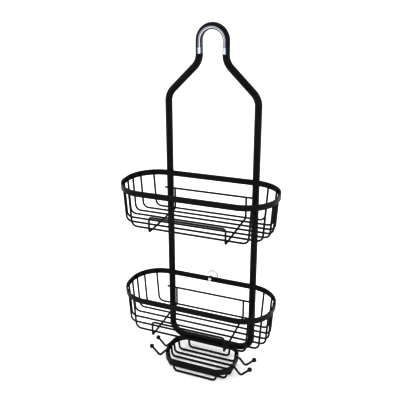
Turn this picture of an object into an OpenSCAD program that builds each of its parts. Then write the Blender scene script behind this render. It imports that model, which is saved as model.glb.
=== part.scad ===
// Hanging shower caddy: one closed bent bar with a hook-over loop, two oval wire
// baskets, a soap dish, four ball-ended hooks and a small suction cup.
// Millimetres, +Z up, the open side of the baskets faces -Y and the wall is at +Y.
// The origin is the centre of the loop's arch, which is where a shower arm sits.

/* [Hanging frame] */
// Diameter of the bent steel bar
bar_d = 12; // [10.5:0.5:13]
// Distance from the centre of one upright to the centre of the other
upright_spacing = 159; // [145:2:181]
// Radius of the loop's arch, measured to the centre of the bar
loop_r = 23.2; // [21:0.1:28]
// How far the corner of the shoulders is below the centre of the arch
shoulder_drop = 90.7; // [84:0.1:110]
// How far the bottom crossbar is below the centre of the arch
crossbar_drop = 570; // [550:5:690]
// Bend radius of the neck and of the shoulders
shoulder_bend = 30; // [22:1:34]
// Bend radius of the two bottom corners
corner_bend = 26; // [18:1:34]

/* [Clear loop liner] */
// How much of the bar is left beside the liner, along the loop
strip_w = 4.6; // [3.6:0.2:5]
// How far the liner's inner face is set back from the bar's inner edge
liner_setback = 1; // [0.6:0.1:1.4]
// How far each leg of the liner reaches below the centre of the arch
liner_drop = 21; // [14:1:22]
// Width of the tongue that holds the liner in the bar's groove
tongue_w = 2.4; // [1.6:0.2:3]
// Depth of that tongue
tongue_depth = 1.8; // [1:0.1:2]

/* [Baskets] */
// Overall length of a basket, left to right
basket_l = 271; // [235:2:303]
// Overall depth of a basket, front to back
basket_w = 120; // [112:1:130]
// Corner radius of a basket's rim, to the middle of the band
basket_corner = 54; // [44:1:54]
// Height of the flat band that makes the rim
rim_h = 9.5; // [8:0.5:14]
// Thickness of that band
rim_t = 2.2; // [1.6:0.1:3]
// How far the upper basket's top edge is below the centre of the arch
upper_drop = 227.5; // [200:0.5:265]
// How far the lower basket's top edge is below the centre of the arch
lower_drop = 427; // [360:1:450]
// Depth of a basket from its top edge to its floor wires
basket_h = 67; // [56:1:90]
// Number of U-shaped floor wires in each basket
floor_wires = 7; // [7]
// Diameter of a basket wire
wire_d = 3.2; // [2.4:0.1:3.6]
// Gap from the rim's inner face to the nearest floor wire
wire_inset = 6.3; // [4.5:0.1:10]
// Bend radius where a floor wire turns up
wire_bend = 10; // [7:1:14]
// How far a wire leans outwards from the floor to the rim
wire_lean = 4; // [1:0.5:6]

/* [Cross wires and front rails] */
// How far the upper basket's rear cross wire is below its top edge
upper_cross_drop = 33; // [28:0.5:42]
// How far the lower basket's rear cross wire is below its top edge
lower_cross_drop = 37; // [28:0.5:42]
// How far a cross wire runs past the centre of the upright
cross_over = 7; // [3:0.5:9]
// Half the width of the wire that cradles the floor and makes the front rail
cradle_half = 66; // [56:1:68]
// Bend radius of the cradle wire at the back
cradle_bend = 5; // [4:0.5:5]
// Bend radius of the front rail's two top corners
rail_bend = 5; // [4:0.5:8]
// Height of the front rail above the floor wires
rail_rise = 23; // [14:0.5:26]
// Gap between the front floor wire and the front rail
rail_gap = 4; // [0.5:0.5:4]

/* [Soap dish] */
// Overall length of the soap dish, left to right
dish_l = 133; // [117:2:143]
// Overall depth of the soap dish, front to back
dish_w = 90; // [80:1:96]
// Corner radius of the dish's rim, to the middle of the band
dish_corner = 34; // [28:1:38]
// Height of the soap dish's band
dish_rim_h = 11; // [9:0.5:13]
// How far the band's top edge is above the centre of the crossbar
dish_rise = 7; // [5:0.5:8]
// Depth of the dish from its top edge to its floor wires
dish_h = 25; // [20:1:30]
// Number of U-shaped wires in the soap dish
dish_wires = 7; // [7]
// Diameter of a soap dish wire
dish_wire_d = 3.6; // [2.6:0.1:3.8]
// Gap from the dish rim's inner face to the nearest wire
dish_inset = 2; // [1.6:0.1:4]
// Bend radius where a dish wire turns up
dish_bend = 7; // [5:0.5:8]
// How far a dish wire leans outwards from the floor to the rim
dish_lean = 2; // [1:0.5:3]

/* [Ball-ended hooks] */
// Diameter of a hook wire
hook_d = 3.6; // [2.6:0.1:3.8]
// Distance between the front hook and the back hook on one side
hook_spacing = 30; // [22:1:40]
// How far the hook's lowest point is below its weld on the rim
hook_drop = 14; // [10:0.5:18]
// How far out from the weld the lowest point of a hook is
hook_out = 12; // [10:0.5:20]
// How far out from its lowest point the ball of a hook is
hook_reach = 16.5; // [12:0.5:20]
// How far the ball is above the lowest point
hook_rise = 16.5; // [12:0.5:20]
// Bend radius at the bottom of a hook
hook_bend = 3.5; // [3:0.5:6]
// Diameter of the ball at the end of a hook
ball_d = 8.4; // [7.4:0.2:10]

/* [Suction cup] */
// Diameter of the cup's soft lip
cup_d = 21; // [16:1:24]
// How far the lip stands behind the back of the bar
cup_stand = 1.6; // [1:0.2:3]
// Diameter of the hole in the lower basket's band
hole_d = 4.6; // [4:0.1:5]
// Diameter of the cup's knob in front of the band
knob_d = 6.8; // [6:0.1:8]

/* [Fits] */
// Gap left between two pieces that are welded or pushed together
weld_gap = 0.02; // [0.01:0.01:0.05]
// Radial running clearance of the suction cup's neck in its hole
cup_clear = 0.06; // [0.03:0.01:0.1]
// Gap between the band and the cup's knob and shoulder
cup_float = 0.3; // [0.2:0.05:0.4]

/* [Hidden] */
$fn = 48;
bar_r = bar_d / 2;
wire_r = wire_d / 2;
dish_wire_r = dish_wire_d / 2;
hook_r = hook_d / 2;
ball_r = ball_d / 2;
upright_x = upright_spacing / 2;
neck_z = -shoulder_drop + (upright_x - loop_r);
strip_x = loop_r + bar_r - strip_w;
liner_x = loop_r - bar_r + liner_setback;

// oval rims: half depth and half length to the middle of the band, rear band on the bar
rim_b = (basket_w - rim_t) / 2;
rim_a = (basket_l - rim_t) / 2;
rim_y = -(bar_r + weld_gap + rim_t / 2 + rim_b);
dish_b = (dish_w - rim_t) / 2;
dish_a = (dish_l - rim_t) / 2;
dish_y = -(bar_r + weld_gap + rim_t / 2 + dish_b);
dish_z = -crossbar_drop + dish_rise;

// floor wires: spread evenly between the first and the last
wire_span = rim_b - rim_t / 2 - wire_inset - wire_r;
wire_step = 2 * wire_span / (floor_wires - 1);
dish_span = dish_b - rim_t / 2 - dish_inset - dish_wire_r;
dish_step = 2 * dish_span / (dish_wires - 1);

// cross wire on the front of the uprights, cradle wire in front of it
cross_y = -(bar_r + weld_gap + wire_r);
cradle_y = cross_y - wire_d - weld_gap;
cradle_z = -basket_h - wire_d - weld_gap;
front_y = rim_y - wire_span - wire_d - rail_gap;
rail_z = -basket_h + rail_rise;

// hooks: welded half way up the dish's band
hook_z = dish_z - dish_rim_h / 2;
hook_x = along(dish_a, dish_b, dish_corner, rim_t / 2 + hook_r + weld_gap, hook_spacing / 2);
tip_x = hook_x + hook_out + hook_reach;
tip_z = hook_z - hook_drop + hook_rise;
tip_hole = 4;

// suction cup: neck through the middle of the lower basket's rear band
band_front = -(bar_r + weld_gap + rim_t);
band_back = -(bar_r + weld_gap);
neck_r = hole_d / 2 - cup_clear;
cup_z = -lower_drop - rim_h / 2;
lip_y = bar_r + cup_stand;

coat = "#1b1c1e";
tip_coat = "#141416";
clear = "#dfe6ee";

// ---- round wire along a bent line drawn in the XY plane ----
// a bend is a hair thinner than the straight runs, and each run laps into it

seam = 0.02;
lap = 0.1;

function way(a, b) = (b - a) / norm(b - a);
function turn(a, b, c) = atan2(cross(way(a, b), way(b, c)), way(a, b) * way(b, c));
function setback(p, r, i) =
    (i == 0 || i == len(p) - 1) ? 0 : r * tan(abs(turn(p[i - 1], p[i], p[i + 1])) / 2);

module run(a, b, lap_a, lap_b, r) {
    d = b - a;
    translate([a[0], a[1], 0])
        rotate([0, 0, atan2(d[1], d[0])])
            translate([-lap_a, 0, 0])
                rotate([0, 90, 0])
                    cylinder(h = norm(d) + lap_a + lap_b, r = r);
}

module elbow(a, b, c, bend, r) {
    phi = turn(a, b, c);
    side = phi > 0 ? 1 : -1;
    d = way(a, b);
    s = b - d * bend * tan(abs(phi) / 2);
    m = s + side * bend * [-d[1], d[0]];
    from = atan2(s[1] - m[1], s[0] - m[0]);
    translate([m[0], m[1], 0])
        rotate([0, 0, phi > 0 ? from : from + phi])
            rotate_extrude(angle = abs(phi))
                translate([bend, 0])
                    circle(r = r - seam);
}

module bent_wire(p, bends, r) {
    last = len(p) - 1;
    for (i = [0 : last - 1]) {
        d = way(p[i], p[i + 1]);
        run(p[i] + d * setback(p, bends[i], i), p[i + 1] - d * setback(p, bends[i + 1], i + 1),
            i == 0 ? 0 : lap, i == last - 1 ? 0 : lap, r);
    }
    for (i = [1 : last - 1])
        elbow(p[i - 1], p[i], p[i + 1], bends[i], r);
}

// the XY drawing stood up: facing the front, or seen from the right-hand side
module upright_plane() {
    rotate([90, 0, 0])
        children();
}

module side_plane() {
    rotate([0, 0, 90])
        rotate([90, 0, 0])
            children();
}

// ---- hanging frame and its clear liner ----

module strip_section() {
    difference() {
        translate([loop_r, 0])
            circle(r = bar_r);
        translate([strip_x - bar_d, -bar_d])
            square([bar_d, 2 * bar_d]);
        translate([strip_x - 1, -tongue_w / 2 - weld_gap])
            square([1 + tongue_depth + weld_gap, tongue_w + 2 * weld_gap]);
    }
}

module liner_section() {
    difference() {
        translate([loop_r, 0])
            circle(r = bar_r);
        translate([strip_x - weld_gap, -bar_d])
            square([bar_d, 2 * bar_d]);
        translate([liner_x - bar_d, -bar_d])
            square([bar_d, 2 * bar_d]);
    }
    translate([strip_x - 1, -tongue_w / 2])
        square([1 + tongue_depth, tongue_w]);
}

module along_loop() {
    upright_plane()
        rotate_extrude(angle = 180)
            children();
    for (side = [0, 1])
        mirror([side, 0, 0])
            translate([0, 0, -liner_drop])
                linear_extrude(liner_drop)
                    children();
}

module hanging_frame() {
    color(coat) {
        along_loop()
            strip_section();
        upright_plane()
            bent_wire([[-loop_r, -liner_drop], [-loop_r, neck_z], [-upright_x, -shoulder_drop],
                [-upright_x, -crossbar_drop], [upright_x, -crossbar_drop],
                [upright_x, -shoulder_drop], [loop_r, neck_z], [loop_r, -liner_drop]],
                [0, shoulder_bend, shoulder_bend, corner_bend, corner_bend, shoulder_bend,
                shoulder_bend, 0], bar_r);
    }
}

module loop_liner() {
    color(clear)
        along_loop()
            liner_section();
}

// ---- oval rims: rounded corners, long sides and short flat ends ----

// how far along X an oval line reaches at a distance off its long axis
function along(a, b, corner, out, off) =
    a - corner + sqrt(pow(corner + out, 2) - pow(max(off - (b - corner), 0), 2));

module oval_band(a, b, corner, h) {
    side = a - corner;
    end = b - corner;
    for (x = [0, 1], y = [0, 1])
        mirror([x, 0, 0])
            mirror([0, y, 0])
                translate([side, end, 0])
                    rotate_extrude(angle = 90)
                        translate([corner - rim_t / 2, -h])
                            square([rim_t, h]);
    for (y = [-1, 1])
        translate([-side, y * b - rim_t / 2, -h])
            cube([2 * side, rim_t, h]);
    for (x = [-1, 1])
        translate([x * a - rim_t / 2, -end, -h])
            cube([rim_t, 2 * end, h]);
}

module basket_rim(drop) {
    translate([0, rim_y, -drop])
        oval_band(rim_a, rim_b, basket_corner, rim_h);
}

module upper_rim() {
    color(coat)
        basket_rim(upper_drop);
}

module lower_rim() {
    color(coat)
        difference() {
            basket_rim(lower_drop);
            translate([0, band_back + 2, cup_z])
                rotate([90, 0, 0])
                    cylinder(h = rim_t + 4, r = hole_d / 2);
        }
}

module dish_rim() {
    color(coat)
        translate([0, dish_y, dish_z])
            oval_band(dish_a, dish_b, dish_corner, dish_rim_h);
}

// ---- U-shaped wires: along the floor and up to the inside of the band ----

module floor_wire(a, b, corner, h, off, r, bend, lean, top) {
    x = along(a, b, corner, -rim_t / 2 - weld_gap - r, abs(off));
    upright_plane()
        bent_wire([[-x, -top], [-x + lean, -h], [x - lean, -h], [x, -top]],
            [0, bend, bend, 0], r);
}

module basket_wire(drop, i) {
    off = wire_span - (i - 1) * wire_step;
    color(coat)
        translate([0, rim_y + off, -drop])
            floor_wire(rim_a, rim_b, basket_corner, basket_h, off, wire_r, wire_bend, wire_lean,
                2.5);
}

module dish_wire(i) {
    off = dish_span - (i - 1) * dish_step;
    color(coat)
        translate([0, dish_y + off, dish_z])
            floor_wire(dish_a, dish_b, dish_corner, dish_h, off, dish_wire_r, dish_bend,
                dish_lean, 2.5);
}

// ---- rear cross wires and cradle wires ----

module cross_wire(drop, cross_drop) {
    half = upright_x + cross_over;
    color(coat)
        translate([-half, cross_y, -drop - cross_drop])
            rotate([0, 90, 0])
                cylinder(h = 2 * half, r = wire_r);
}

module cradle_wire(drop, cross_drop) {
    join_z = rail_z - rail_bend - 2;
    front_bend = wire_d + weld_gap;
    color(coat)
        translate([0, 0, -drop]) {
            for (side = [-1, 1])
                translate([side * cradle_half, 0, 0])
                    side_plane()
                        bent_wire([[cradle_y, -cross_drop + wire_r], [cradle_y, cradle_z],
                            [front_y, cradle_z], [front_y, join_z]],
                            [0, cradle_bend, front_bend, 0], wire_r);
            translate([0, front_y, 0])
                upright_plane()
                    bent_wire([[-cradle_half, join_z], [-cradle_half, rail_z],
                        [cradle_half, rail_z], [cradle_half, join_z]],
                        [0, rail_bend, rail_bend, 0], wire_r);
        }
}

// ---- hooks and their ball ends ----

module hook(side_x, side_y) {
    end = way([hook_x + hook_out, hook_z - hook_drop], [tip_x, tip_z]);
    stop = [tip_x, tip_z] - end * (ball_r - tip_hole + weld_gap);
    color(coat)
        mirror([side_x, 0, 0])
            translate([0, dish_y + side_y * hook_spacing / 2, 0])
                upright_plane()
                    bent_wire([[hook_x, hook_z], [hook_x + hook_out, hook_z - hook_drop], stop],
                        [0, hook_bend, 0], hook_r);
}

module ball(side_x, side_y) {
    tilt = atan2(hook_rise, hook_reach);
    color(tip_coat)
        mirror([side_x, 0, 0])
            translate([tip_x, dish_y + side_y * hook_spacing / 2, tip_z])
                rotate([0, -90 - tilt, 0])
                    difference() {
                        sphere(r = ball_r);
                        translate([0, 0, ball_r - tip_hole])
                            cylinder(h = ball_r + tip_hole, r = hook_r + weld_gap);
                    }
}

// ---- suction cup, turned about its own axis and pushed through the band ----

module suction_cup() {
    back = -band_back + lip_y;
    front = -band_front + lip_y;
    color(clear)
        translate([0, lip_y, cup_z])
            rotate([90, 0, 0]) {
                difference() {
                    cylinder(h = back - 4.5, r1 = cup_d / 2, r2 = 4.4);
                    translate([0, 0, -1])
                        cylinder(h = back - 6, r1 = cup_d / 2 - 1.3, r2 = 1.6);
                }
                translate([0, 0, back - 4.5])
                    cylinder(h = 4.5 - cup_float, r = 4.4);
                translate([0, 0, back - cup_float])
                    cylinder(h = rim_t + 2 * cup_float, r = neck_r);
                translate([0, 0, front + cup_float])
                    cylinder(h = 2.2, r = knob_d / 2);
                translate([0, 0, front + cup_float + 2.2])
                    cylinder(h = 1.2, r1 = knob_d / 2, r2 = knob_d / 2 - 1);
            }
}

hanging_frame();
loop_liner();
upper_rim();
basket_wire(upper_drop, 1);  // upper_floor_wire_1
basket_wire(upper_drop, 2);  // upper_floor_wire_2
basket_wire(upper_drop, 3);  // upper_floor_wire_3
basket_wire(upper_drop, 4);  // upper_floor_wire_4
basket_wire(upper_drop, 5);  // upper_floor_wire_5
basket_wire(upper_drop, 6);  // upper_floor_wire_6
basket_wire(upper_drop, 7);  // upper_floor_wire_7
cross_wire(upper_drop, upper_cross_drop);  // upper_cross_wire
cradle_wire(upper_drop, upper_cross_drop);  // upper_cradle_wire
lower_rim();
basket_wire(lower_drop, 1);  // lower_floor_wire_1
basket_wire(lower_drop, 2);  // lower_floor_wire_2
basket_wire(lower_drop, 3);  // lower_floor_wire_3
basket_wire(lower_drop, 4);  // lower_floor_wire_4
basket_wire(lower_drop, 5);  // lower_floor_wire_5
basket_wire(lower_drop, 6);  // lower_floor_wire_6
basket_wire(lower_drop, 7);  // lower_floor_wire_7
cross_wire(lower_drop, lower_cross_drop);  // lower_cross_wire
cradle_wire(lower_drop, lower_cross_drop);  // lower_cradle_wire
dish_rim();
dish_wire(1);  // dish_wire_1
dish_wire(2);  // dish_wire_2
dish_wire(3);  // dish_wire_3
dish_wire(4);  // dish_wire_4
dish_wire(5);  // dish_wire_5
dish_wire(6);  // dish_wire_6
dish_wire(7);  // dish_wire_7
hook(1, 1);  // hook_left_rear
hook(1, -1);  // hook_left_front
hook(0, 1);  // hook_right_rear
hook(0, -1);  // hook_right_front
ball(1, 1);  // ball_left_rear
ball(1, -1);  // ball_left_front
ball(0, 1);  // ball_right_rear
ball(0, -1);  // ball_right_front
suction_cup();
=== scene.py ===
"""Looks of a hanging shower caddy: black powder-coated steel, clear soft plastic, soft studio light."""
import logging
import math
from dataclasses import dataclass, field
from enum import Enum

import bmesh
import bpy
from mathutils import Matrix, Vector


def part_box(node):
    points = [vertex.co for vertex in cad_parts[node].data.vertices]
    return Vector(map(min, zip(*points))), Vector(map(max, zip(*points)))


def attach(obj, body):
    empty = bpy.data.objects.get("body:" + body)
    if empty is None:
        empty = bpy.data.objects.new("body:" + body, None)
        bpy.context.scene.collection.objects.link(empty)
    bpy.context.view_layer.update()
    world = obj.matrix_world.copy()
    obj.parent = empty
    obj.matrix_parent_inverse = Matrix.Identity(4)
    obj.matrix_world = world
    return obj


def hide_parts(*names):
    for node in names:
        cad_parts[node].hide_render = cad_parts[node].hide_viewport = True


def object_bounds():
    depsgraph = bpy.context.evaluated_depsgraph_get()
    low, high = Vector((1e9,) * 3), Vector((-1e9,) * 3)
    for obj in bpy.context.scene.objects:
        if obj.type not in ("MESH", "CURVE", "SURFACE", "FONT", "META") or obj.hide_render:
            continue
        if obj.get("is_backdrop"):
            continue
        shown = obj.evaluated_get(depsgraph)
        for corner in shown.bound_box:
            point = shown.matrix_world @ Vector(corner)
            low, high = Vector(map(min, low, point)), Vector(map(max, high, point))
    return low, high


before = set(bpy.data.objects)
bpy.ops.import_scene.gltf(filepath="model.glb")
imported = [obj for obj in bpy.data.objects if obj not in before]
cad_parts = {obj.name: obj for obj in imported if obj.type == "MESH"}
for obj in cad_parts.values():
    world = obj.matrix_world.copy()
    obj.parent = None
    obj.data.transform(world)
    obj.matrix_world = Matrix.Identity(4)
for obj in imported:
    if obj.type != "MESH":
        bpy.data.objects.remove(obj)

MM = 0.001
CADDY = "caddy"
CUP = "suction_cup"
log = logging.getLogger("shower_caddy")


class Side(Enum):
    """Left or right of the caddy, seen from the front."""

    LEFT = -1
    RIGHT = 1


class Tier(Enum):
    """The two baskets, by the first word of their node names."""

    UPPER = "upper"
    LOWER = "lower"


def hex_to_linear(code: str) -> tuple[float, float, float, float]:
    """Turns an sRGB hex colour into linear light.

    Args:
        code: six hex digits, such as "1c1d1f".

    Returns:
        Red, green, blue and an alpha of 1.
    """
    parts = [int(code[i : i + 2], 16) / 255 for i in (0, 2, 4)]
    red, green, blue = (c / 12.92 if c <= 0.04045 else ((c + 0.055) / 1.055) ** 2.4 for c in parts)
    return red, green, blue, 1.0


def add_node(tree: bpy.types.NodeTree, kind: str, settings: dict | None = None,
             **inputs: object) -> bpy.types.Node:
    """Adds a node, sets its properties, and fills or links its inputs.

    Args:
        tree: the node tree.
        kind: the node's type name.
        settings: the node's own properties.
        inputs: input name (spaces as underscores) to a value or to another node's output.

    Returns:
        The new node.
    """
    node = tree.nodes.new(kind)
    for name, value in (settings or {}).items():
        setattr(node, name, value)
    for name, value in inputs.items():
        socket = node.inputs[name.replace("_", " ")]
        if isinstance(value, bpy.types.NodeSocket):
            tree.links.new(value, socket)
        else:
            socket.default_value = value
    return node


def waves_per_metre(size_mm: float) -> float:
    """Texture scale, in the object's metres, for a pattern of that real size in millimetres."""
    return 1.0 / (size_mm * MM)


@dataclass(frozen=True)
class Finish:
    """What every finish has: a name and the way to start its material."""

    name: str

    def start(self) -> tuple[bpy.types.Material, bpy.types.NodeTree, bpy.types.Node, bpy.types.NodeSocket]:
        """Makes an empty node material.

        Returns:
            The material, its tree, its Principled shader, and the object's own coordinates.
        """
        made = bpy.data.materials.new(self.name)
        made.use_nodes = True
        tree = made.node_tree
        tree.nodes.clear()
        shader = add_node(tree, "ShaderNodeBsdfPrincipled")
        add_node(tree, "ShaderNodeOutputMaterial", Surface=shader.outputs["BSDF"])
        place = add_node(tree, "ShaderNodeTexCoord").outputs["Object"]
        return made, tree, shader, place


@dataclass(frozen=True)
class PowderCoatedSteel(Finish):
    """Mild steel, sprayed with black polyester powder and baked: a tough satin skin."""

    name: str = "black_powder_coated_steel"
    colour: str = "101112"
    thin_colour: str = "1c1d1f"
    roughness: tuple[float, float] = (0.30, 0.46)
    orange_peel_mm: float = 1.4
    grain_mm: float = 0.35
    cloud_mm: float = 26.0
    peel_over_grain: float = 2.2
    bump_mm: float = 0.06

    def build(self) -> bpy.types.Material:
        """Builds the coat: cloudy colour, uneven gloss, orange peel and fine powder grain.

        Returns:
            The material.
        """
        made, tree, shader, place = self.start()
        # the powder lies a little thicker in some places, so the black drifts very slightly
        cloud = add_node(tree, "ShaderNodeTexNoise", Vector=place, Scale=waves_per_metre(self.cloud_mm),
                         Detail=3.0, Roughness=0.55)
        tint = add_node(tree, "ShaderNodeValToRGB", Fac=cloud.outputs["Fac"])
        tint.color_ramp.elements[0].position = 0.30
        tint.color_ramp.elements[0].color = hex_to_linear(self.colour)
        tint.color_ramp.elements[1].position = 0.85
        tint.color_ramp.elements[1].color = hex_to_linear(self.thin_colour)
        # baked powder levels out like orange skin: broad soft bumps that break up the highlights;
        # a real grain of powder is far finer than this and is drawn coarser, or it would not show
        peel = add_node(tree, "ShaderNodeTexNoise", Vector=place, Scale=waves_per_metre(self.orange_peel_mm),
                        Detail=1.5, Roughness=0.4)
        grain = add_node(tree, "ShaderNodeTexNoise", Vector=place, Scale=waves_per_metre(self.grain_mm),
                         Detail=2.0, Roughness=0.6)
        height = add_node(tree, "ShaderNodeMath", {"operation": "MULTIPLY_ADD"})
        tree.links.new(peel.outputs["Fac"], height.inputs[0])
        height.inputs[1].default_value = self.peel_over_grain
        tree.links.new(grain.outputs["Fac"], height.inputs[2])
        bump = add_node(tree, "ShaderNodeBump", Strength=0.22, Distance=self.bump_mm * MM,
                        Height=height.outputs[0])
        gloss = add_node(tree, "ShaderNodeMapRange", Value=grain.outputs["Fac"],
                         To_Min=self.roughness[0], To_Max=self.roughness[1])
        tree.links.new(tint.outputs["Color"], shader.inputs["Base Color"])
        tree.links.new(gloss.outputs["Result"], shader.inputs["Roughness"])
        tree.links.new(bump.outputs["Normal"], shader.inputs["Normal"])
        shader.inputs["IOR"].default_value = 1.5
        # under half the usual level, so the bar stays black in a bright white room
        shader.inputs["Specular IOR Level"].default_value = 0.22
        return made


@dataclass(frozen=True)
class DippedVinyl(Finish):
    """Black plastisol, dipped over the end of a hook wire and cured: rounder and glossier than the coat."""

    name: str = "black_dipped_vinyl"
    colour: str = "121315"
    thin_colour: str = "1d1e21"
    roughness: tuple[float, float] = (0.20, 0.32)
    ripple_mm: float = 3.0
    bump_mm: float = 0.1

    def build(self) -> bpy.types.Material:
        """Builds the dipped skin, with the slow ripples a dip leaves.

        Returns:
            The material.
        """
        made, tree, shader, place = self.start()
        ripple = add_node(tree, "ShaderNodeTexNoise", Vector=place, Scale=waves_per_metre(self.ripple_mm),
                          Detail=1.0, Roughness=0.5)
        tint = add_node(tree, "ShaderNodeValToRGB", Fac=ripple.outputs["Fac"])
        tint.color_ramp.elements[0].color = hex_to_linear(self.colour)
        tint.color_ramp.elements[1].color = hex_to_linear(self.thin_colour)
        gloss = add_node(tree, "ShaderNodeMapRange", Value=ripple.outputs["Fac"],
                         To_Min=self.roughness[0], To_Max=self.roughness[1])
        bump = add_node(tree, "ShaderNodeBump", Strength=0.3, Distance=self.bump_mm * MM,
                        Height=ripple.outputs["Fac"])
        tree.links.new(tint.outputs["Color"], shader.inputs["Base Color"])
        tree.links.new(gloss.outputs["Result"], shader.inputs["Roughness"])
        tree.links.new(bump.outputs["Normal"], shader.inputs["Normal"])
        shader.inputs["IOR"].default_value = 1.53
        # a little under the usual level, so the balls stay black but gleam more than the coat
        shader.inputs["Specular IOR Level"].default_value = 0.35
        return made


@dataclass(frozen=True)
class ClearPvc(Finish):
    """Clear plasticised PVC, moulded soft: clear faces and thick edges, with its highlights and the dark of the
    bar seen through it painted into its colour.

    The colours are painted highlights and painted shade, laid from the inner to the outer radius about a centre
    at height centre_z_mm.
    A moulding with straight legs under its arch may have other painted colours of highlight and shade below the
    height foot_z_mm.
    """

    name: str
    transmission: float
    centre_z_mm: float
    radii_mm: tuple[float, float]
    # painted highlights and shade: places across the moulding, each with its colour
    painted_light_bands: tuple[tuple[float, str], ...]
    foot_painted_light_bands: tuple[tuple[float, str], ...] = ()
    foot_z_mm: float = 0.0
    roughness: tuple[float, float] = (0.05, 0.18)
    flow_mm: float = 5.0
    skin_mm: float = 0.9
    bump_mm: float = 0.2
    painted_band_drift: float = 0.16
    foot_blend_mm: float = 0.6

    def paint_light_bands(self, tree: bpy.types.NodeTree, across: bpy.types.NodeSocket,
               painted_light_bands: tuple[tuple[float, str], ...]) -> bpy.types.NodeSocket:
        """A painted colour of highlights and shade that changes across the moulding's thickness.

        Args:
            tree: the material's node tree.
            across: 0 at the first radius and 1 at the last.
            painted_light_bands: places from 0 to 1, each with its colour.

        Returns:
            The colour's socket.
        """
        ramp = add_node(tree, "ShaderNodeValToRGB", Fac=across)
        stops = ramp.color_ramp.elements
        while len(stops) < len(painted_light_bands):
            stops.new(1.0)
        for stop, (place, colour) in zip(stops, painted_light_bands):
            stop.position = place
            stop.color = hex_to_linear(colour)
        return ramp.outputs["Color"]

    def across(self, tree: bpy.types.NodeTree, split: bpy.types.Node,
               flow: bpy.types.Node) -> bpy.types.NodeSocket:
        """How far a point lies from the moulding's inner to its outer radius, with the drift of its flow; the
        painted highlights and shade follow it.

        Args:
            tree: the material's node tree.
            split: the node that gives the point's X, Y and Z.
            flow: the noise that bends the painted stripes of highlight and shade.

        Returns:
            The socket: about 0 at the first radius and 1 at the last.
        """
        above = add_node(tree, "ShaderNodeMath", {"operation": "SUBTRACT"})
        tree.links.new(split.outputs["Z"], above.inputs[0])
        above.inputs[1].default_value = self.centre_z_mm * MM
        if self.foot_painted_light_bands:
            # below the centre the legs run straight, so only the height above it counts in the radius
            lifted = add_node(tree, "ShaderNodeMath", {"operation": "MAXIMUM"})
            tree.links.new(above.outputs[0], lifted.inputs[0])
            lifted.inputs[1].default_value = 0.0
            above = lifted
        level = add_node(tree, "ShaderNodeCombineXYZ", X=split.outputs["X"], Z=above.outputs[0])
        radius = add_node(tree, "ShaderNodeVectorMath", {"operation": "LENGTH"},
                          Vector=level.outputs["Vector"])
        share = add_node(tree, "ShaderNodeMapRange", Value=radius.outputs["Value"],
                         From_Min=self.radii_mm[0] * MM, From_Max=self.radii_mm[1] * MM)
        drift = add_node(tree, "ShaderNodeMath", {"operation": "MULTIPLY_ADD"})
        tree.links.new(flow.outputs["Fac"], drift.inputs[0])
        drift.inputs[1].default_value = self.painted_band_drift
        tree.links.new(share.outputs["Result"], drift.inputs[2])
        return drift.outputs[0]

    def build(self) -> bpy.types.Material:
        """Builds the clear plastic, with highlights and shade painted in stripes from its inner to its outer
        edge, and flow marks.

        Returns:
            The material.
        """
        made, tree, shader, place = self.start()
        flow = add_node(tree, "ShaderNodeTexNoise", Vector=place, Scale=waves_per_metre(self.flow_mm),
                        Detail=2.0, Roughness=0.5, Distortion=0.6)
        skin = add_node(tree, "ShaderNodeTexNoise", Vector=place, Scale=waves_per_metre(self.skin_mm),
                        Detail=1.0)
        split = add_node(tree, "ShaderNodeSeparateXYZ", Vector=place)
        across = self.across(tree, split, flow)
        # painted highlights, and the painted dark of the bar seen through the plastic
        colour = self.paint_light_bands(tree, across, self.painted_light_bands)
        # the straight feet get their own painted highlights and shade
        if self.foot_painted_light_bands:
            foot = add_node(tree, "ShaderNodeMapRange", Value=split.outputs["Z"],
                            From_Min=(self.foot_z_mm + self.foot_blend_mm) * MM,
                            From_Max=(self.foot_z_mm - self.foot_blend_mm) * MM)
            joined = add_node(tree, "ShaderNodeMix", {"data_type": "RGBA"})
            tree.links.new(foot.outputs["Result"], joined.inputs[0])
            tree.links.new(colour, joined.inputs[6])
            tree.links.new(self.paint_light_bands(tree, across, self.foot_painted_light_bands), joined.inputs[7])
            colour = joined.outputs[2]
        gloss = add_node(tree, "ShaderNodeMapRange", Value=skin.outputs["Fac"],
                         To_Min=self.roughness[0], To_Max=self.roughness[1])
        bump = add_node(tree, "ShaderNodeBump", Strength=0.2, Distance=self.bump_mm * MM,
                        Height=flow.outputs["Fac"])
        # the painted light and shade go into the base colour
        tree.links.new(colour, shader.inputs["Base Color"])
        tree.links.new(gloss.outputs["Result"], shader.inputs["Roughness"])
        tree.links.new(bump.outputs["Normal"], shader.inputs["Normal"])
        shader.inputs["IOR"].default_value = 1.53
        shader.inputs["Transmission Weight"].default_value = self.transmission
        return made


def liner_pvc() -> ClearPvc:
    """The loop liner's plastic, with its light and shade painted in: a navy inner lip and a smoky body painted
    with the dark of the bar seen through, a painted white highlight streak, and whiter feet of painted light.
    """
    return ClearPvc(
        "clear_liner_pvc", transmission=0.18, centre_z_mm=0.0, radii_mm=(18.2, 24.6), foot_z_mm=-11.0,
        # painted light: the navy, grey and dark colours stand for the black bar seen through the plastic, the
        # white ones for highlights
        painted_light_bands=((0.0, "0b1024"), (0.36, "0f1530"), (0.43, "ffffff"), (0.54, "f4f7fc"), (0.61, "4b5060"),
               (0.76, "9aa1af"), (0.84, "d5dae4"), (0.93, "23262f")),
        # painted light on the straight feet: a navy lip of the bar seen through, then whiter painted highlight
        foot_painted_light_bands=((0.0, "0b1024"), (0.24, "141b38"), (0.34, "f1f4fb"), (0.70, "dbe1ed"), (0.95, "a4abba")))


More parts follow.
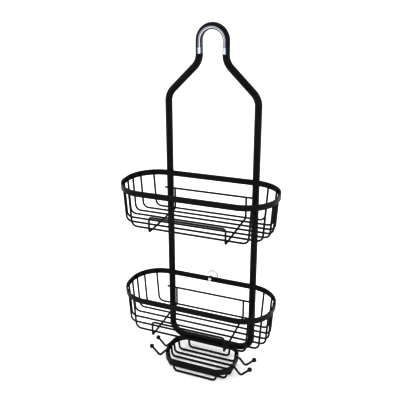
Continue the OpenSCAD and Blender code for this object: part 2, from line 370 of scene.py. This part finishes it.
def cup_pvc() -> ClearPvc:
    """The suction cup's plastic: a painted bright highlight in the middle, and a greyer lip of painted shade
    where it is thin and curved.
    """
    return ClearPvc(
        "clear_cup_pvc", transmission=0.86, centre_z_mm=-431.75, radii_mm=(0.0, 10.6),
        # painted light: the white colours are highlights, the grey at the outer radius is painted shade on the
        # curved lip
        painted_light_bands=((0.0, "ffffff"), (0.34, "fbfcfe"), (0.44, "e4e7ec"), (0.60, "f4f5f7"), (0.88, "e6e8eb"),
               (1.0, "9b9fa6")))


@dataclass(frozen=True)
class StudioPaper(Finish):
    """Matt white background paper, rolled out under and behind the caddy."""

    name: str = "white_studio_paper"
    fibre_mm: float = 4.0
    glow: float = 0.16

    def build(self) -> bpy.types.Material:
        """Builds the paper, with a barely visible fibre, far coarser than the real one, which would not show.

        Returns:
            The material.
        """
        made, tree, shader, place = self.start()
        fibre = add_node(tree, "ShaderNodeTexNoise", Vector=place, Scale=waves_per_metre(self.fibre_mm),
                         Detail=3.0)
        tint = add_node(tree, "ShaderNodeValToRGB", Fac=fibre.outputs["Fac"])
        tint.color_ramp.elements[0].color = hex_to_linear("f6f6f6")
        tint.color_ramp.elements[1].color = hex_to_linear("fbfbfb")
        tree.links.new(tint.outputs["Color"], shader.inputs["Base Color"])
        shader.inputs["Roughness"].default_value = 0.95
        shader.inputs["Specular IOR Level"].default_value = 0.1
        # a faint glow keeps the paper white where the lights fall off
        shader.inputs["Emission Color"].default_value = (1.0, 1.0, 1.0, 1.0)
        shader.inputs["Emission Strength"].default_value = self.glow
        return made


@dataclass
class Finishes:
    """The caddy's finishes, each built once."""

    steel: bpy.types.Material = field(default_factory=lambda: PowderCoatedSteel().build())
    vinyl: bpy.types.Material = field(default_factory=lambda: DippedVinyl().build())
    liner: bpy.types.Material = field(default_factory=lambda: liner_pvc().build())
    cup: bpy.types.Material = field(default_factory=lambda: cup_pvc().build())
    paper: bpy.types.Material = field(default_factory=lambda: StudioPaper().build())


def dress_node(node: str, material: bpy.types.Material, soften_mm: float = 0.0) -> None:
    """Gives a CAD node its finish and breaks its hard edges.

    Args:
        node: the CAD node's name.
        material: the finish.
        soften_mm: radius of the softened edges, or 0 to leave them.
    """
    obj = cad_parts[node]
    obj.data.materials.clear()
    obj.data.materials.append(material)
    if soften_mm:
        edge = obj.modifiers.new("softened_edges", "BEVEL")
        edge.width = soften_mm * MM
        edge.segments = 2
        edge.limit_method = "ANGLE"
        edge.angle_limit = math.radians(50)
        edge.use_clamp_overlap = True
        edge.harden_normals = True
    log.info("dressed %s", node)


def finish_piece(mesh: bmesh.types.BMesh, name: str, material: bpy.types.Material, body: str) -> bpy.types.Object:
    """Turns a mesh into a shown piece that rides on a body.

    Args:
        mesh: the mesh, in metres, in the caddy's frame.
        name: the piece's name.
        material: its finish.
        body: the body it rides on.

    Returns:
        The new object.
    """
    data = bpy.data.meshes.new(name)
    mesh.to_mesh(data)
    mesh.free()
    data.shade_smooth()
    obj = bpy.data.objects.new(name, data)
    bpy.context.scene.collection.objects.link(obj)
    data.materials.append(material)
    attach(obj, body)
    log.info("built %s with %d faces", name, len(data.polygons))
    return obj


@dataclass(frozen=True)
class Bead:
    """One weld bead: a small swollen blob laid along a joint. Its size is length, width and height."""

    at: Vector
    along: Vector
    out: Vector
    size_mm: tuple[float, float, float]

    def lay(self, mesh: bmesh.types.BMesh) -> None:
        """Adds the bead, with the slight unevenness of molten metal, to a mesh.

        Args:
            mesh: the mesh that takes the bead.
        """
        along = self.along.normalized()
        out = (self.out - along * self.out.dot(along)).normalized()
        turn = Matrix((along, out.cross(along), out)).transposed().to_4x4()
        made = bmesh.ops.create_icosphere(mesh, subdivisions=2, radius=1.0)["verts"]
        size = Vector(self.size_mm) * (MM / 2)
        # the unevenness starts at another point in each place, so no two beads look alike
        phase = (self.at.x * 911 + self.at.y * 577 + self.at.z * 353) % 1.0 * math.tau
        for v in made:
            swell = 1 + 0.10 * math.sin(5 * v.co.x + phase) + 0.05 * math.sin(9 * v.co.x + 2 * phase)
            v.co = Vector((v.co.x * size.x, v.co.y * size.y * swell, v.co.z * size.z * swell))
        bmesh.ops.transform(mesh, matrix=Matrix.Translation(self.at) @ turn, verts=made)


def middle(node: str) -> Vector:
    """The middle of a CAD node's box."""
    low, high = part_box(node)
    return (low + high) / 2


@dataclass
class OvalRim:
    """An oval band and the U-shaped wires that hang inside it."""

    rim: str
    wires: tuple[str, ...]
    corner: float = 55.1 * MM
    wire_r: float = 1.6 * MM
    leg_top: float = 2.5 * MM
    seam_share: float = 0.8
    seam_h_mm: float = 0.9

    def outward(self, x: float, y: float) -> Vector:
        """The level direction from the oval's inside to its outside, square to the band.

        Args:
            x: across, in metres.
            y: front to back, in metres.

        Returns:
            A unit vector.
        """
        low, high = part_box(self.rim)
        dx, dy = x - (low.x + high.x) / 2, y - (low.y + high.y) / 2
        past_x = abs(dx) - ((high.x - low.x) / 2 - self.corner)
        past_y = abs(dy) - ((high.y - low.y) / 2 - self.corner)
        square = Vector((math.copysign(max(past_x, 0.0), dx), math.copysign(max(past_y, 0.0), dy), 0))
        return square.normalized()

    def wire_beads(self) -> list[Bead]:
        """Beads that join each leg of each wire to the inside of the band.

        Returns:
            One bead to each leg.
        """
        beads = []
        low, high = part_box(self.rim)
        up = Vector((0, 0, 1))
        for wire in self.wires:
            w_low, w_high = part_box(wire)
            for side in Side:
                x = side.value * (w_high.x - self.wire_r)
                leg = Vector((x, (w_low.y + w_high.y) / 2, (high.z - self.leg_top + low.z) / 2))
                out = self.outward(leg.x, leg.y)
                size = ((high.z - self.leg_top - low.z) / MM * self.seam_share, self.wire_r / MM * 1.8,
                        self.seam_h_mm)
                beads.append(Bead(leg + out * self.wire_r * 0.85, up, out, size))
        return beads


@dataclass
class HangingFrame:
    """The bent bar and the clear liner in its loop."""

    bar: str = "hanging_frame"
    liner: str = "loop_liner"

    def dress(self, finishes: Finishes) -> None:
        """Gives the bar its coat and the liner its clear plastic."""
        dress_node(self.bar, finishes.steel)
        dress_node(self.liner, finishes.liner, soften_mm=0.35)


@dataclass
class Basket:
    """One wire basket with its rim, floor wires, cross wire and cradle wire."""

    tier: Tier
    floor_wires: int = 7
    bar_r: float = 6.0 * MM
    wire_r: float = 1.6 * MM
    upright_x: float = 79.5 * MM
    cradle_bead_mm: tuple[float, float, float] = (2.6, 2.6, 1.3)
    cross_bead_mm: tuple[float, float, float] = (4.6, 1.8, 1.5)
    rim_bead_mm: tuple[float, float, float] = (8.6, 2.2, 1.3)
    flank: float = 2.0 * MM

    def node(self, part: str) -> str:
        """The name of one of this basket's CAD nodes."""
        return f"{self.tier.value}_{part}"

    def wires(self) -> tuple[str, ...]:
        """The names of the floor wires, back to front."""
        return tuple(self.node(f"floor_wire_{i}") for i in range(1, self.floor_wires + 1))

    def dress(self, finishes: Finishes) -> None:
        """Gives the band and the wires their coat.

        Args:
            finishes: the caddy's finishes.
        """
        dress_node(self.node("rim"), finishes.steel, soften_mm=0.35)
        for wire in (*self.wires(), self.node("cross_wire"), self.node("cradle_wire")):
            dress_node(wire, finishes.steel)

    def build(self, finishes: Finishes) -> None:
        """Lays the weld beads that hold the basket together and to the uprights.

        Args:
            finishes: the caddy's finishes.
        """
        mesh = bmesh.new()
        across, up, front = Vector((1, 0, 0)), Vector((0, 0, 1)), Vector((0, -1, 0))
        beads = OvalRim(self.node("rim"), self.wires(), wire_r=self.wire_r).wire_beads()
        cradle_low, cradle_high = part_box(self.node("cradle_wire"))
        cross = middle(self.node("cross_wire"))
        band_z = middle(self.node("rim")).z
        for side in Side:
            run_x = side.value * (cradle_high.x - self.wire_r)
            for wire in self.wires():
                spot = Vector((run_x, middle(wire).y, cradle_low.z + 2 * self.wire_r))
                beads.append(Bead(spot, across, up, self.cradle_bead_mm))
            spot = Vector((run_x, cross.y - self.wire_r, cross.z))
            beads.append(Bead(spot, across, front, self.cradle_bead_mm))
            post = side.value * self.upright_x
            for level in (-1, 1):
                seam = Vector((post, -self.bar_r, cross.z + level * self.wire_r * 0.7))
                beads.append(Bead(seam, across, front, self.cross_bead_mm))
            for flank in (-1, 1):
                seam = Vector((post + flank * self.flank, -self.bar_r + 0.1 * MM, band_z))
                beads.append(Bead(seam, up, front, self.rim_bead_mm))
        for bead in beads:
            bead.lay(mesh)
        finish_piece(mesh, self.node("basket_welds"), finishes.steel, CADDY)


@dataclass
class SoapDish:
    """The soap dish under the lower basket, with its four hooks."""

    rim: str = "dish_rim"
    wires_n: int = 7
    corner: float = 35.1 * MM
    wire_r: float = 1.8 * MM
    hook_r: float = 1.8 * MM
    bar_r: float = 6.0 * MM
    seam_pitch: float = 13.0 * MM
    seam_gap: float = 1.5 * MM
    seam_bead_mm: tuple[float, float, float] = (9.0, 2.0, 1.4)
    hook_bead_mm: tuple[float, float, float] = (4.6, 3.6, 1.6)

    def wires(self) -> tuple[str, ...]:
        """The names of the dish wires, back to front."""
        return tuple(f"dish_wire_{i}" for i in range(1, self.wires_n + 1))

    def hooks(self) -> tuple[tuple[Side, str], ...]:
        """Each hook's side and place."""
        return tuple((side, place) for side in Side for place in ("rear", "front"))

    def dress(self, finishes: Finishes) -> None:
        """Gives the band, wires and hooks their coat, and the balls their dipped vinyl.

        Args:
            finishes: the caddy's finishes.
        """
        dress_node(self.rim, finishes.steel, soften_mm=0.35)
        for wire in self.wires():
            dress_node(wire, finishes.steel)
        for side, place in self.hooks():
            dress_node(f"hook_{side.name.lower()}_{place}", finishes.steel)
            dress_node(f"ball_{side.name.lower()}_{place}", finishes.vinyl, soften_mm=0.3)

    def build(self, finishes: Finishes) -> None:
        """Lays the weld beads of the dish, its hooks and the crossbar.

        Args:
            finishes: the caddy's finishes.
        """
        mesh = bmesh.new()
        across, up, back = Vector((1, 0, 0)), Vector((0, 0, 1)), Vector((0, 1, 0))
        oval = OvalRim(self.rim, self.wires(), self.corner, self.wire_r)
        beads = oval.wire_beads()
        bar_low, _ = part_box("hanging_frame")
        seat = bar_low.z + self.bar_r
        for place in (-1, 0, 1):
            for level in (-1, 1):
                seam = Vector((place * self.seam_pitch, -self.bar_r + 0.2 * MM, seat + level * self.seam_gap))
                beads.append(Bead(seam, across, back, self.seam_bead_mm))
        for side, place in self.hooks():
            low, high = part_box(f"hook_{side.name.lower()}_{place}")
            inner = low.x if side is Side.RIGHT else high.x
            root = Vector((inner + side.value * self.hook_r * 0.7, (low.y + high.y) / 2, 0))
            root.z = middle(self.rim).z
            out = oval.outward(root.x, root.y)
            beads.append(Bead(root - out * self.hook_r * 0.8, up, out, self.hook_bead_mm))
        for bead in beads:
            bead.lay(mesh)
        finish_piece(mesh, "soap_dish_welds", finishes.steel, CADDY)


@dataclass
class SuctionCup:
    """The clear cup in the lower basket's back band: knob, neck and bell, turned about one axis."""

    node: str = "suction_cup"
    steps: int = 64

    def profile(self) -> list[tuple[float, float]]:
        """The cup's outline, from inside the bell to the knob.

        Returns:
            Radius and depth from the lip, in millimetres, of each point.
        """
        hollow = [(0.0, 8.6), (1.4, 8.4), (3.2, 7.2), (5.6, 4.4), (7.8, 1.9), (9.3, 0.45)]
        lip = [(10.1, 0.0), (10.5, 0.12), (10.45, 0.5), (9.7, 1.1)]
        bell = [(8.4, 2.7), (6.6, 5.3), (5.0, 7.7), (4.3, 9.4), (4.2, 11.6), (4.35, 12.7), (4.3, 13.2)]
        neck = [(3.7, 13.3), (2.3, 13.32), (2.24, 13.6), (2.24, 15.7), (2.3, 16.0)]
        knob = [(3.1, 16.12), (3.4, 16.5), (3.35, 17.6), (2.9, 18.7), (1.9, 19.3), (0.8, 19.45), (0.0, 19.48)]
        return hollow + lip + bell + neck + knob

    def build(self, finishes: Finishes) -> None:
        """Turns the profile about the cup's axis and puts it in the CAD cup's place.

        Args:
            finishes: the caddy's finishes.
        """
        low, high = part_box(self.node)
        axis = Vector(((low.x + high.x) / 2, high.y, (low.z + high.z) / 2))
        mesh = bmesh.new()
        rings = []
        for radius, depth in self.profile():
            y = axis.y - depth * MM
            if radius == 0:
                rings.append([mesh.verts.new((axis.x, y, axis.z))])
                continue
            ring = []
            for i in range(self.steps):
                a = math.tau * i / self.steps
                ring.append(mesh.verts.new((axis.x + radius * MM * math.cos(a), y,
                                            axis.z + radius * MM * math.sin(a))))
            rings.append(ring)
        for a, b in zip(rings, rings[1:]):
            for i in range(self.steps):
                j = (i + 1) % self.steps
                # an end point on the axis is shared, so its faces have three corners instead of four
                around = (a[i % len(a)], a[j % len(a)], b[j % len(b)], b[i % len(b)])
                mesh.faces.new(list(dict.fromkeys(around)))
        bmesh.ops.recalc_face_normals(mesh, faces=mesh.faces)
        cup = finish_piece(mesh, "soft_suction_cup", finishes.cup, CUP)
        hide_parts(self.node)


@dataclass
class Studio:
    """White paper, soft lights and the camera."""

    focus: tuple[float, float, float] = (-0.06706, -0.0400, -0.24893)
    azimuth: float = 23.854
    elevation: float = 20.264
    distance: float = 1.02945
    roll: float = -1.255
    lens_mm: float = 50.970288
    sensor_mm: float = 36.0
    shift: tuple[float, float] = (0.096153846, -0.048076923)
    contrast_gamma: float = 0.65
    floor_gap: float = 0.6 * MM
    paper_front: float = -6.0
    paper_back: float = 3.0
    paper_sweep: float = 2.0
    paper_top: float = 7.0
    paper_side: float = 9.0

    def lay_paper(self, finishes: Finishes) -> None:
        """Rolls the paper out just under the caddy's lowest wire and up behind it.

        Args:
            finishes: the caddy's finishes.
        """
        low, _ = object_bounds()
        floor = low.z - self.floor_gap
        mesh = bmesh.new()
        rows = [(self.paper_front, 0.0), (self.paper_back, 0.0)]
        rows += [(self.paper_back + self.paper_sweep * math.sin(a), self.paper_sweep * (1 - math.cos(a)))
                 for a in (math.radians(d) for d in range(6, 91, 6))]
        rows.append((self.paper_back + self.paper_sweep, self.paper_top))
        lines = [[mesh.verts.new((x, y, floor + z)) for x in (-self.paper_side, self.paper_side)]
                 for y, z in rows]
        for a, b in zip(lines, lines[1:]):
            mesh.faces.new((a[0], a[1], b[1], b[0]))
        data = bpy.data.meshes.new("studio_paper")
        mesh.to_mesh(data)
        mesh.free()
        data.shade_smooth()
        data.materials.append(finishes.paper)
        obj = bpy.data.objects.new("studio_paper", data)
        bpy.context.scene.collection.objects.link(obj)
        obj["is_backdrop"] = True

    def light(self, name: str, at: tuple[float, float, float], size: float, watts: float) -> None:
        """Hangs one soft square light, aimed at the middle of the caddy.

        Args:
            name: the light's name.
            at: where it hangs, in metres.
            size: the length of its side, in metres.
            watts: its power.
        """
        data = bpy.data.lights.new(name, "AREA")
        data.shape = "SQUARE"
        data.size = size
        data.energy = watts
        obj = bpy.data.objects.new(name, data)
        bpy.context.scene.collection.objects.link(obj)
        obj.location = at
        obj.rotation_euler = (Vector(self.focus) - Vector(at)).to_track_quat("-Z", "Y").to_euler()

    def hang_lights(self) -> None:
        """A broad light above, one from the front left, one from the right, and a bright white room."""
        self.light("overhead_softbox", at=(0.1, -0.3, 1.7), size=1.8, watts=16.0)
        self.light("left_softbox", at=(-1.6, -1.5, 0.5), size=1.4, watts=16.0)
        self.light("right_softbox", at=(1.9, -0.6, 0.2), size=1.0, watts=12.0)
        world = bpy.data.worlds.new("white_room")
        bpy.context.scene.world = world
        world.use_nodes = True
        world.node_tree.nodes["Background"].inputs["Color"].default_value = (1.0, 1.0, 1.0, 1.0)
        world.node_tree.nodes["Background"].inputs["Strength"].default_value = 1.0
        bpy.context.scene.view_settings.view_transform = "Standard"
        bpy.context.scene.view_settings.look = "None"
        # deepens the darks, so the satin coat looks as black as it does in bright product light
        bpy.context.scene.view_settings.gamma = self.contrast_gamma

    def place_camera(self) -> None:
        """Stands the camera in front and to the right, a little above, with a small frame shift."""
        az, el = math.radians(self.azimuth), math.radians(self.elevation)
        back = Vector((math.sin(az) * math.cos(el), -math.cos(az) * math.cos(el), math.sin(el)))
        data = bpy.data.cameras.new("front_right_camera")
        data.sensor_width = self.sensor_mm
        data.lens = self.lens_mm
        data.shift_x, data.shift_y = self.shift
        data.clip_end = 50.0
        obj = bpy.data.objects.new("front_right_camera", data)
        bpy.context.scene.collection.objects.link(obj)
        obj.location = Vector(self.focus) + back * self.distance
        tilt = Matrix.Rotation(math.radians(self.roll), 4, "Z").to_quaternion()
        obj.rotation_euler = ((-back).to_track_quat("-Z", "Y") @ tilt).to_euler()
        bpy.context.scene.camera = obj


def main() -> None:
    """Builds the caddy's looks in order, then the studio."""
    logging.basicConfig(level=logging.INFO, format="%(name)s: %(message)s")
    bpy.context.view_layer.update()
    finishes = Finishes()
    HangingFrame().dress(finishes)
    for tier in Tier:
        basket = Basket(tier)
        basket.dress(finishes)
        basket.build(finishes)
    dish = SoapDish()
    dish.dress(finishes)
    dish.build(finishes)
    SuctionCup().build(finishes)
    studio = Studio()
    studio.lay_paper(finishes)
    studio.hang_lights()
    studio.place_camera()


if __name__ == "__main__":
    main()
